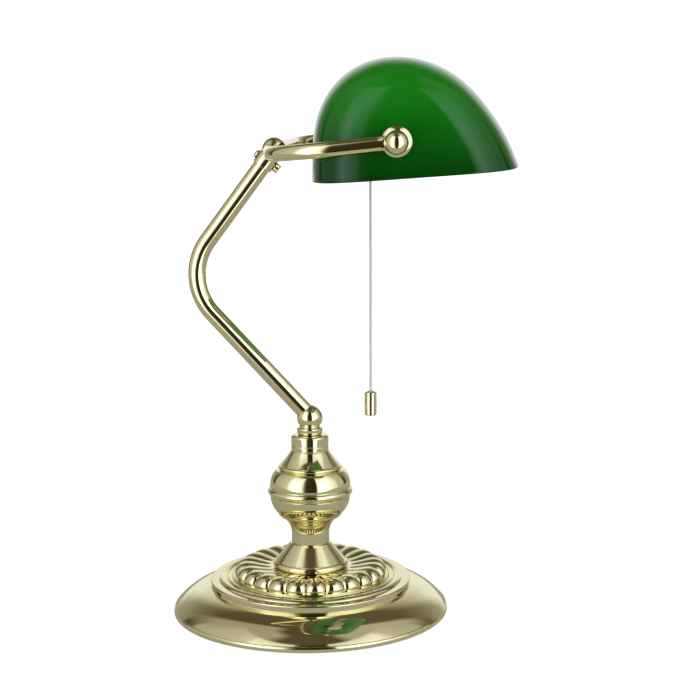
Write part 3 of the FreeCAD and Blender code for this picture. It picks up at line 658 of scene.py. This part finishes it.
LOWER_LEG, UPPER_LEG = leg(-42.7), leg(36.6)
SWIVEL_CENTRE = TUBE_CORNER - LOWER_LEG * ((TUBE_CORNER.z - SWIVEL_BALL_Z) / LOWER_LEG.z)
JOINT_CENTRE = TUBE_CORNER + UPPER_LEG * ((JOINT_X - TUBE_CORNER.x) / UPPER_LEG.x)
ACROSS_TUBE = Vector((UPPER_LEG.z, 0.0, -UPPER_LEG.x))
YOKE_RUN = Vector((TILT_X, 0.0, TILT_Z)) - JOINT_CENTRE
TILT_DISTANCE = YOKE_RUN.length
YOKE_RUN.normalize()


def swivel():
    """Lock ring and the ball that the arm tube stands in."""
    z0, top = COLLAR_TOP_Z + 0.3, LOCK_RING_TOP_Z
    ring = turned("swivel_lock_ring", (3.2, z0),
                  [(8.2, z0), ((8.7, z0 + 1.6), (LOCK_RING_R, top - 1.4)), ((8.7, top - 0.4), (8.0, top)),
                   (3.2, top)], soften=0.25)
    finish_piece(ring, "polished_brass", "arm", "lock_ring")
    flat = 7.6
    low = SWIVEL_BALL_Z - math.sqrt(SWIVEL_BALL_R ** 2 - flat ** 2)
    ball = turned("arm_ball", (0, top),
                  [(6.9, top), (SWIVEL_NECK_R, top + 0.5), (SWIVEL_NECK_R, low - 1.0), (6.7, low - 0.5),
                   (flat, low), ((SWIVEL_BALL_R, SWIVEL_BALL_Z), (0, SWIVEL_BALL_Z + SWIVEL_BALL_R))],
                  soften=0.2)
    finish_piece(ball, "polished_brass", "arm", "swivel_ball")


def arm_tube():
    """Two straight legs with one bend between them."""
    corners = [SWIVEL_CENTRE + LOWER_LEG * 2.5, TUBE_CORNER, JOINT_CENTRE - UPPER_LEG * 6.0]
    samples = rounded_path(corners, [TUBE_BEND_R])
    tube = swept("bent_tube", samples, Y_AXIS, [(TUBE_R, TUBE_R, 2.0)] * len(samples), around=96)
    finish_piece(tube, "polished_brass", "arm", "arm_tube")


def top_joint():
    """Ball and collar that hold the yoke, with the screw and nut that clamp it."""
    seat = JOINT_COLLAR_R
    groove = seat - 0.3
    low = -JOINT_BALL_R - JOINT_COLLAR_LENGTH
    meet = -math.sqrt(JOINT_BALL_R ** 2 - seat ** 2)
    joint = turned("yoke_ball", (0, low),
                   [(seat - 0.4, low), (seat, low + 0.4), (seat, meet - 0.9), (groove, meet - 0.6),
                    (groove, meet - 0.3), (seat, meet), ((JOINT_BALL_R, 0), (0, JOINT_BALL_R))],
                   place=frame_on(JOINT_CENTRE, UPPER_LEG), soften=0.15)
    finish_piece(joint, "polished_brass", "arm", "top_joint")
    place = frame_on(JOINT_CENTRE - UPPER_LEG * CROSS_SCREW_DROP, ACROSS_TUBE)
    screw = turned("clamp_screw", (0, -seat - 2.0),
                   [((2.2, -seat - 1.6), (3.0, -seat - 0.4)), (3.0, -seat), (0, -seat)], 64, place, 0.15)
    finish_piece(screw, "polished_brass", "arm", "cross_screw")
    nut = turned("clamp_nut", (0, seat),
                 [(2.8, seat), (3.1, seat + 0.3), (3.1, seat + 3.2), (2.7, seat + 3.6), (0, seat + 3.6)],
                 64, place, 0.3)
    finish_piece(nut, "polished_brass", "arm", "cross_nut")


# stretches before the stud's axis over which each side of the tube is pressed to the eye
INNER_PRESS, OUTER_PRESS = (11.5, 6.8), (7.6, 6.2)
EYE_R, EYE_HALF_T, EYE_NECK = 6.2, 1.5, 4.35
PRESS_STEP, BEFORE_PRESS = 0.25, 2.0


def pressed(ahead, stretch):
    """0 where the tube is round, 1 where it is flat."""
    share = min(max((ahead + stretch[0]) / (stretch[0] - stretch[1]), 0.0), 1.0)
    return share * share * (3 - 2 * share)


def yoke_shape(ahead):
    """Outward shift and cross-section at a distance ahead of the stud's axis."""
    inner, outer = pressed(ahead, INNER_PRESS), pressed(ahead, OUTER_PRESS)
    inner_half, outer_half = (YOKE_R + (EYE_HALF_T - YOKE_R) * p for p in (inner, outer))
    neck = YOKE_R + (EYE_NECK - YOKE_R) * outer
    eye = math.sqrt(max(EYE_R ** 2 - ahead ** 2, 0.0))
    height = eye if ahead > 0 else max(neck, eye)
    shape = (inner_half + outer_half) / 2, max(height, 0.3), 2.0 + 3.0 * outer
    return (outer_half - inner_half) / 2, shape


def yoke():
    """Tube bent to a U, its ends pressed flat into eyes for the studs."""
    corner = YOKE_RUN * YOKE_CORNER_AHEAD
    side, middle = Y_AXIS * YOKE_HALF, Y_AXIS * YOKE_STRAIGHT_HALF
    start = YOKE_RUN * (TILT_DISTANCE - INNER_PRESS[0] - BEFORE_PRESS)
    offsets = [start - side, corner - side, -middle, middle, corner + side, start + side]
    bends = [YOKE_BEND_R, YOKE_BOW_R, YOKE_BOW_R, YOKE_BEND_R]
    body = rounded_path([JOINT_CENTRE + o for o in offsets], bends)
    steps = int((INNER_PRESS[0] - EYE_R) / PRESS_STEP)
    ends = [-INNER_PRESS[0] + PRESS_STEP * i for i in range(steps)]
    ends += [EYE_R * math.sin(math.radians(a)) for a in range(-80, 91, 5)]
    shaped = [(a, *yoke_shape(a)) for a in ends]
    eye = JOINT_CENTRE + YOKE_RUN * TILT_DISTANCE
    far = [(eye + side + Y_AXIS * shift + YOKE_RUN * a, YOKE_RUN.copy()) for a, shift, _ in shaped]
    near = [(eye - side - Y_AXIS * shift + YOKE_RUN * a, -YOKE_RUN) for a, shift, _ in reversed(shaped)]
    eye_shapes = [shape for _, _, shape in shaped]
    shapes = eye_shapes[::-1] + [(YOKE_R, YOKE_R, 2.0)] * len(body) + eye_shapes
    upright = YOKE_RUN.cross(Y_AXIS)
    tube = swept("yoke_tube", near + body + far, upright, shapes, around=96)
    finish_piece(tube, "polished_brass", "arm", "yoke")


# ------------------------------------------------------------------ shade

SHADE_END = 112.6
SHADE_CENTRE, RIM_TILT = Vector((71.7, 0.0, 306.5)), 4.1        # millimetres and degrees
RIM_POWER, HALF_DEPTH, CROWN = 5.0, 66.4, 74.6
# the glass across its middle, from the rear rim over the crown to the front rim, as (ahead, height)
SECTION = ((-65.6, 0), (-64.4, 14), (-59.4, 39.7), (-48.2, 58.3), (-31, 70.5), (-8, 74.6),
           (12.3, 70.5), (32.8, 58.2), (49, 39.2), (61, 17.2), (67.2, 0))
GREEN_T, WHITE_T, LAYER_GAP, RIM_ROUND = 2.0, 1.3, 0.02, 0.5
GREEN_DROP, WHITE_DROP = 1.0, 1.6      # how far the crown of each layer's inside is lowered
SHADE_ROWS, SHADE_COLUMNS, PLAN_SAMPLES = 72, 120, 600


def plan_curve(end):
    """(share of the section, distance along Y), evenly spaced from an end to the middle of the shade."""
    angles = [math.pi / 2 * (i / PLAN_SAMPLES) for i in range(PLAN_SAMPLES + 1)]
    fine = [(math.sin(a) ** (2 / RIM_POWER), math.cos(a) ** (2 / RIM_POWER) * end) for a in angles]
    steps = [0.0]
    for (s0, y0), (s1, y1) in zip(fine, fine[1:]):
        steps.append(steps[-1] + math.hypot((s1 - s0) * HALF_DEPTH, y1 - y0))
    wanted = np.linspace(0.0, steps[-1], SHADE_ROWS + 1)
    shares = np.interp(wanted, steps, [s for s, _ in fine])
    places = np.interp(wanted, steps, [y for _, y in fine])
    return list(zip(shares, places))


def dome_rows(inset, drop):
    """Rows of points over the dome, from the near end's middle to the far end's."""
    shrink = (HALF_DEPTH - inset) / HALF_DEPTH
    section = smooth_curve(SECTION, SHADE_COLUMNS + 1)
    half = plan_curve(SHADE_END - inset)
    stations = [(s, -y) for s, y in half] + [(s, y) for s, y in reversed(half[:-1])]
    place = Matrix.Translation(SHADE_CENTRE) @ Matrix.Rotation(math.radians(-RIM_TILT), 4, "Y")
    rows = []
    for share, y in stations:
        row = []
        for x, z in section:
            height = max(z, 0.0) * share * shrink
            height = RIM_ROUND + height * (1 - (RIM_ROUND + drop) / CROWN)
            row.append(place @ Vector((x * share * shrink, y, height)))
        rows.append(row if share > 1e-6 else row[:1])
    return rows


def glass_layer(name, inset, drop, thickness, inner_drop):
    """Closed pane between two domes, with a rounded rim."""
    outside, inside = dome_rows(inset, drop), dome_rows(inset + thickness, inner_drop)
    down = Matrix.Rotation(math.radians(-RIM_TILT), 3, "Y") @ Vector((0, 0, -1))
    points = []

    def number(rows):
        numbered = []
        for row in rows:
            numbered.append(list(range(len(points), len(points) + len(row))))
            points.extend(row)
        return numbered

    outer, inner = number(outside), number(inside)
    faces = grid_faces(outer, True) + grid_faces(inner, False)
    loops = [rim_loop(outer)]
    for share in (0.15, 0.35, 0.65, 0.85):
        first = len(points)
        sink = down * RIM_ROUND * math.sin(math.pi * share) ** 0.6
        for a, b in zip(rim_loop(outer), rim_loop(inner)):
            points.append(points[a].lerp(points[b], share) + sink)
        loops.append(list(range(first, len(points))))
    loops.append(rim_loop(inner))
    for low, high in zip(loops, loops[1:]):
        faces += band(low, high, 1)
    return mesh_object(name, points, faces)


def rim_loop(rows):
    """Point numbers once round the rim: the rear edge one way and the front edge back."""
    return [row[0] for row in rows] + [row[-1] for row in reversed(rows[1:-1])]


def grid_faces(rows, flip):
    """Faces between neighbouring rows of an open surface whose end rows may be single points."""
    faces = []
    for low, high in zip(rows, rows[1:]):
        for i in range(max(len(low), len(high)) - 1):
            if len(low) == 1:
                face = (low[0], high[i], high[i + 1])
            elif len(high) == 1:
                face = (low[i], high[0], low[i + 1])
            else:
                face = (low[i], high[i], high[i + 1], low[i + 1])
            faces.append(face[::-1] if flip else face)
    return faces


def shade():
    """The two layers of the cased glass."""
    green = glass_layer("glass_green", 0.0, 0.0, GREEN_T, GREEN_DROP)
    finish_piece(green, "green_glass", "shade", "shade_green")
    white = glass_layer("glass_opal", GREEN_T + LAYER_GAP, GREEN_DROP + LAYER_GAP, WHITE_T, WHITE_DROP)
    finish_piece(white, "white_glass", "shade", "shade_white")


def tilt_hardware():
    """Domed disc and round nut at each end of the shade."""
    glass_face, washer_t, stud_r = 112.5, 0.8, 2.5
    disc_start = glass_face + washer_t
    rim, top = disc_start + 0.6, disc_start + 3.0
    nut_r, nut_seat = 7.3, 5.2
    nut_start = YOKE_HALF + EYE_HALF_T + 0.3
    centre = nut_start + nut_seat
    flat = math.sqrt(nut_r ** 2 - nut_seat ** 2)
    for side, end in ((-1, "near"), (1, "far")):
        place = frame_on((TILT_X, 0, TILT_Z), (0, side, 0))
        disc = turned("disc_" + end, (stud_r, disc_start),
                      [(9.5, disc_start), (9.5, rim), ((7.6, rim + 1.32), (5.4, top)), (stud_r, top)],
                      96, place, 0.25)
        finish_piece(disc, "polished_brass", "shade", "side_disc_" + end)
        nut = turned("nut_" + end, (0, nut_start),
                     [(flat, nut_start), ((nut_r, centre), (0, centre + nut_r))], 96, place, 0.4)
        finish_piece(nut, "polished_brass", end + "_nut", "ball_nut_" + end)


# ------------------------------------------------------------------ pull cord

PULL_X, PULL_PIVOT_Z = 42.0, 328.0
CORD_D = 1.7
# metres, as a curve wants them
CORD_ROUTE = ((0.042, 0.0, 0.3266), (0.0421, 0.0002, 0.312), (0.042, 0.0, 0.155))
KNOB_R, KNOB_TOP_Z, KNOB_BOTTOM_Z = 4.15, 155.0, 138.0


def pull_cord():
    """Fine braided cord from its bead down to the knob."""
    z0, top = KNOB_BOTTOM_Z, KNOB_TOP_Z
    knob = turned("cord_knob", (0, z0),
                  [(KNOB_R - 0.5, z0), (KNOB_R, z0 + 0.5), (KNOB_R, top - 2.2),
                   ((KNOB_R - 0.3, top - 1.0), (KNOB_R - 1.3, top - 0.5)), (1.8, top), (0, top)],
                  96, Matrix.Translation((PULL_X, 0, 0)), 0.3)
    finish_piece(knob, "polished_brass", "cord", "pull_knob")
    bead_r, flat = 1.7, -1.4
    bead = turned("cord_crimp", (0, flat),
                  [(math.sqrt(bead_r ** 2 - flat ** 2), flat), ((bead_r, 0), (0, bead_r))],
                  48, Matrix.Translation((PULL_X, 0, PULL_PIVOT_Z)), 0.15)
    finish_piece(bead, "zinc_steel", "cord", "cord_bead")
    curve = bpy.data.curves.new("pull_cord_line", "CURVE")
    curve.dimensions = "3D"
    curve.bevel_depth = CORD_D / 2 * MM
    curve.bevel_resolution = 6
    curve.resolution_u = 48
    curve.use_fill_caps = True
    spline = curve.splines.new("NURBS")
    spline.points.add(len(CORD_ROUTE) - 1)
    for point, place in zip(spline.points, CORD_ROUTE):
        point.co = (*place, 1.0)
    spline.order_u = 3
    spline.use_endpoint_u = True
    cord = bpy.data.objects.new("pull_cord_line", curve)
    bpy.context.scene.collection.objects.link(cord)
    curve.materials.append(MATERIALS["cord_fabric"])
    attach(cord, "cord")
    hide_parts("pull_cord")


# ------------------------------------------------------------------ studio

# everything in this section is in metres
CAMERA_AT = (0.0767, -1.0973, 0.3619)
CAMERA_DOWN, CAMERA_AROUND = 9.24, 1.33       # degrees
SENSOR_WIDTH, LENS, LENS_SHIFT = 36.0, 83.64, -0.0486        # millimetres, and a share of the width
TABLE_FRONT, TABLE_BACK, TABLE_HALF_WIDTH = -0.38, 2.4, 1.6
FLOOR_Z, FLOOR_HOLE_R = -0.0001, 0.09
FLOOR_SPOKES, FIRST_SPOKE = 64, -3.1          # radians
PAPER_GLOW = 0.62       # lifts the paper to the white of the backdrop, for the camera only


def camera():
    """Camera in front of the near end of the shade, a little above it."""
    data = bpy.data.cameras.new("camera")
    data.sensor_width = SENSOR_WIDTH
    data.lens = LENS
    data.shift_x = LENS_SHIFT
    obj = bpy.data.objects.new("camera", data)
    obj.location = CAMERA_AT
    obj.rotation_euler = (math.radians(90 - CAMERA_DOWN), 0.0, math.radians(CAMERA_AROUND))
    bpy.context.scene.collection.objects.link(obj)
    bpy.context.scene.camera = obj


def floor():
    """White paper from above, clear from below, with a hole under the foot that lets its felt be seen."""
    corners = [(x, y) for x in (-TABLE_HALF_WIDTH, TABLE_HALF_WIDTH) for y in (TABLE_FRONT, TABLE_BACK)]
    spokes = [math.tau * i / FLOOR_SPOKES + FIRST_SPOKE for i in range(FLOOR_SPOKES)]
    angles = sorted([math.atan2(y, x) for x, y in corners] + spokes)
    inner, outer = [], []
    for angle in angles:
        c, s = math.cos(angle), math.sin(angle)
        reach = min(TABLE_HALF_WIDTH / abs(c), (TABLE_BACK if s > 0 else -TABLE_FRONT) / abs(s))
        inner.append((c * FLOOR_HOLE_R, s * FLOOR_HOLE_R, FLOOR_Z))
        outer.append((c * reach, s * reach, FLOOR_Z))
    count = len(angles)
    mesh = bpy.data.meshes.new("floor")
    mesh.from_pydata(inner + outer, [], band(list(range(count)), list(range(count, 2 * count)), -1))
    obj = bpy.data.objects.new("floor", mesh)
    bpy.context.scene.collection.objects.link(obj)
    m = Nodes("white_paper")
    m.set(Roughness=0.8)
    grain = m.noise(m.place(), 900.0, 4.0)
    m.colour(m.blend(grain, (0.80, 0.79, 0.77), (0.84, 0.83, 0.81)))
    glow = m.add("ShaderNodeEmission")
    glow.inputs["Strength"].default_value = PAPER_GLOW
    both = m.add("ShaderNodeAddShader")
    seen = m.add("ShaderNodeMixShader")
    m.join(m.shader.outputs["BSDF"], both.inputs[0])
    m.join(glow.outputs["Emission"], both.inputs[1])
    m.join(m.add("ShaderNodeLightPath").outputs["Is Camera Ray"], seen.inputs["Fac"])
    m.join(m.shader.outputs["BSDF"], seen.inputs[1])
    m.join(both.outputs["Shader"], seen.inputs[2])
    sided = m.add("ShaderNodeMixShader")
    m.join(m.add("ShaderNodeNewGeometry").outputs["Backfacing"], sided.inputs["Fac"])
    m.join(seen.outputs["Shader"], sided.inputs[1])
    m.join(m.add("ShaderNodeBsdfTransparent").outputs["BSDF"], sided.inputs[2])
    m.join(sided.outputs["Shader"], m.tree.nodes["Material Output"].inputs["Surface"])
    mesh.materials.append(m.material)


class World:
    """The studio round the lamp, as brightness by direction."""

    def __init__(self):
        world = bpy.data.worlds.new("studio")
        world.use_nodes = True
        bpy.context.scene.world = world
        self.tree = world.node_tree
        self.tree.nodes.clear()
        self.direction = self.add("ShaderNodeTexCoord").outputs["Generated"]

    def add(self, kind, **settings):
        node = self.tree.nodes.new(kind)
        for key, value in settings.items():
            setattr(node, key, value)
        return node

    def calc(self, operation, first, second=None):
        """Result of a maths node on one or two sockets or numbers."""
        node = self.add("ShaderNodeMath", operation=operation)
        for socket, value in zip(node.inputs, (first, second)):
            if value is None:
                continue
            if isinstance(value, (int, float)):
                socket.default_value = value
            else:
                self.tree.links.new(value, socket)
        return node.outputs[0]

    def along(self, axis):
        """Share of the direction along an axis."""
        node = self.add("ShaderNodeVectorMath", operation="DOT_PRODUCT")
        node.inputs[1].default_value = axis
        self.tree.links.new(self.direction, node.inputs[0])
        return node.outputs["Value"]

    def ramp(self, angle, stops):
        """Value by an angle in radians, from (degrees, value) stops between -180 and 180 degrees."""
        share = self.calc("ADD", self.calc("DIVIDE", angle, math.tau), 0.5)
        ramp = self.add("ShaderNodeValToRGB")
        greys = [(degrees / 360 + 0.5, [value / BRIGHTEST] * 3) for degrees, value in stops]
        set_stops(ramp.color_ramp, greys)
        self.tree.links.new(share, ramp.inputs["Fac"])
        return self.calc("MULTIPLY", ramp.outputs["Color"], BRIGHTEST)

    def mix(self, factor, first, second):
        """Blend of two sockets or numbers."""
        span = self.add("ShaderNodeMix", data_type="FLOAT")
        for key, value in (("Factor", factor), ("A", first), ("B", second)):
            if isinstance(value, (int, float)):
                span.inputs[key].default_value = value
            else:
                self.tree.links.new(value, span.inputs[key])
        return span.outputs["Result"]


BRIGHTEST = 2.0         # a ramp holds 0 to 1, so it holds brightness as a share of this
# brightness by direction round the lamp in degrees: 0 is -Y, the near end of the shade, and 90 is +X
WALLS = ((-180, 0.80), (-159, 0.78), (-148, 0.34), (-131, 0.26), (-127, 0.08), (-119, 0.08), (-116, 0.42),
         (-90, 0.48), (-68, 0.60), (-60, 1.00), (-42, 1.90), (-25, 1.10), (-19, 0.90), (-15, 0.30),
         (-8, 0.05), (20, 0.035), (23, 0.15), (26, 1.20), (37, 2.00), (60, 1.15), (84, 0.80), (93, 0.50),
         (116, 0.44), (119, 0.08), (128, 0.08), (132, 0.26), (148, 0.34), (159, 0.78), (180, 0.80))
# most that a wall gives, by height in degrees
WALL_LIMIT = ((-90, 2.0), (14, 2.0), (34, 1.3), (50, 0.95), (60, 0.72), (90, 0.72))
CEILING = ((-180, 0.12), (-134, 0.10), (-126, 0.34), (-62, 0.38), (-38, 0.11), (44, 0.10), (62, 0.40),
           (124, 0.42), (132, 0.12), (180, 0.12))
# share of the ceiling by height in degrees, in front of the lamp and behind it; which of the two counts
# is in BEHIND, by direction
CEILING_AHEAD = ((0, 0.0), (59, 0.0), (62, 1.0), (90, 1.0))
CEILING_BEHIND = ((0, 0.0), (16, 0.0), (44, 1.0), (90, 1.0))
BEHIND = ((-180, 1.0), (-118, 1.0), (-100, 0.0), (100, 0.0), (118, 1.0), (180, 1.0))
# brightness straight up, and its share by height
ZENITH, ZENITH_SHARE = 0.10, ((0, 0.0), (73, 0.0), (79, 1.0), (90, 1.0))
# colour of the light by its brightness: warm where it is dark, cool where it is bright
TONES = ((0.0, (0.0, 0.0, 0.0)), (0.05, (0.050, 0.042, 0.022)), (0.12, (0.126, 0.108, 0.076)),
         (0.50, (0.50, 0.495, 0.46)), (0.80, (0.78, 0.80, 0.82)), (1.20, (1.10, 1.16, 1.34)),
         (2.0, (1.92, 2.0, 2.10)))


def studio():
    """Two tall soft boxes beside the camera, grey side walls, a white wall behind, a dark ceiling."""
    world = World()
    around = world.calc("ARCTAN2", world.along((1.0, 0.0, 0.0)), world.along((0.0, -1.0, 0.0)))
    height = world.calc("ARCSINE", world.along((0.0, 0.0, 1.0)))
    behind = world.ramp(around, BEHIND)
    share = world.mix(behind, world.ramp(height, CEILING_AHEAD), world.ramp(height, CEILING_BEHIND))
    walls = world.calc("MINIMUM", world.ramp(around, WALLS), world.ramp(height, WALL_LIMIT))
    brightness = world.mix(share, walls, world.ramp(around, CEILING))
    brightness = world.mix(world.ramp(height, ZENITH_SHARE), brightness, ZENITH)
    tones = world.add("ShaderNodeValToRGB")
    shares = [(value / BRIGHTEST, [c / BRIGHTEST for c in colour]) for value, colour in TONES]
    set_stops(tones.color_ramp, shares)
    world.tree.links.new(world.calc("MULTIPLY", brightness, 1 / BRIGHTEST), tones.inputs["Fac"])
    light = world.add("ShaderNodeBackground")
    light.inputs["Strength"].default_value = BRIGHTEST
    world.tree.links.new(tones.outputs["Color"], light.inputs["Color"])
    plain = world.add("ShaderNodeBackground")
    plain.inputs["Color"].default_value = (1.0, 1.0, 1.0, 1.0)
    chosen = world.add("ShaderNodeMixShader")
    path = world.add("ShaderNodeLightPath")
    world.tree.links.new(path.outputs["Is Camera Ray"], chosen.inputs["Fac"])
    world.tree.links.new(light.outputs[0], chosen.inputs[1])
    world.tree.links.new(plain.outputs[0], chosen.inputs[2])
    world.tree.links.new(chosen.outputs[0], world.add("ShaderNodeOutputWorld").inputs["Surface"])


def finish_cad_nodes():
    """Materials for the CAD nodes that stay, by the record's slots."""
    for part in frame["record"]["subparts"]:
        mesh = NODES[part["node"]].data
        mesh.materials.clear()
        mesh.materials.append(MATERIALS[part["material_slot"]])


finish_cad_nodes()
camera()
pull_cord()
base_shell()
gadroon_ring()
stem()
swivel()
arm_tube()
top_joint()
yoke()
shade()
tilt_hardware()
floor()
studio()
bpy.context.scene.view_settings.view_transform = "Standard"
bpy.context.scene.view_settings.look = "Medium High Contrast"
